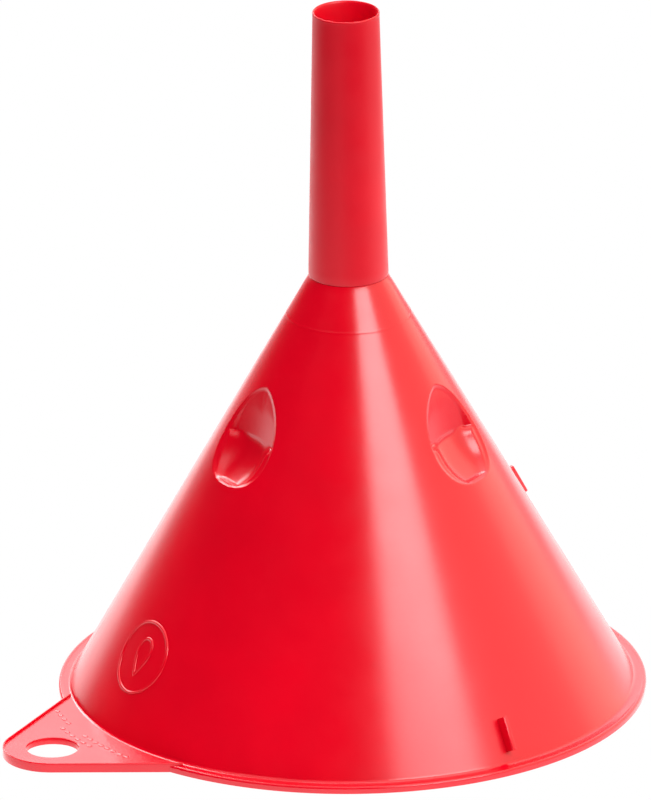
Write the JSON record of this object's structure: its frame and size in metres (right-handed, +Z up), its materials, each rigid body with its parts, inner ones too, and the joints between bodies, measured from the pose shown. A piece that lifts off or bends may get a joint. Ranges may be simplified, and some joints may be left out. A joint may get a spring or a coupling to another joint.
{
  "type": "canning funnel",
  "caption": "Plastic funnel with a wide cone, a slim tapering spout, a flat rim, teardrop vent pockets and a hanging tab.",
  "frame": {"origin": "on the plane that the mouth stands on, under the middle of the bounding box; the funnel's own axis is vertical and 12.35 mm along +X from it", "axes": "+Z up the funnel's axis from the mouth to the spout's tip, -X towards the hanging tab, +Y across"},
  "size_m": [0.1648, 0.14, 0.1705],
  "materials": {
    "cone": "polished moulded red plastic",
    "spout": "fine matte moulded red plastic",
    "rim": "polished moulded red plastic",
    "tab": "satin moulded red plastic"
  },
  "bodies": {
    "root": {"cone_body": "cone", "spout_tube": "spout", "mouth_rim": "rim", "hanging_tab": "tab"}
  },
  "joints": []
}
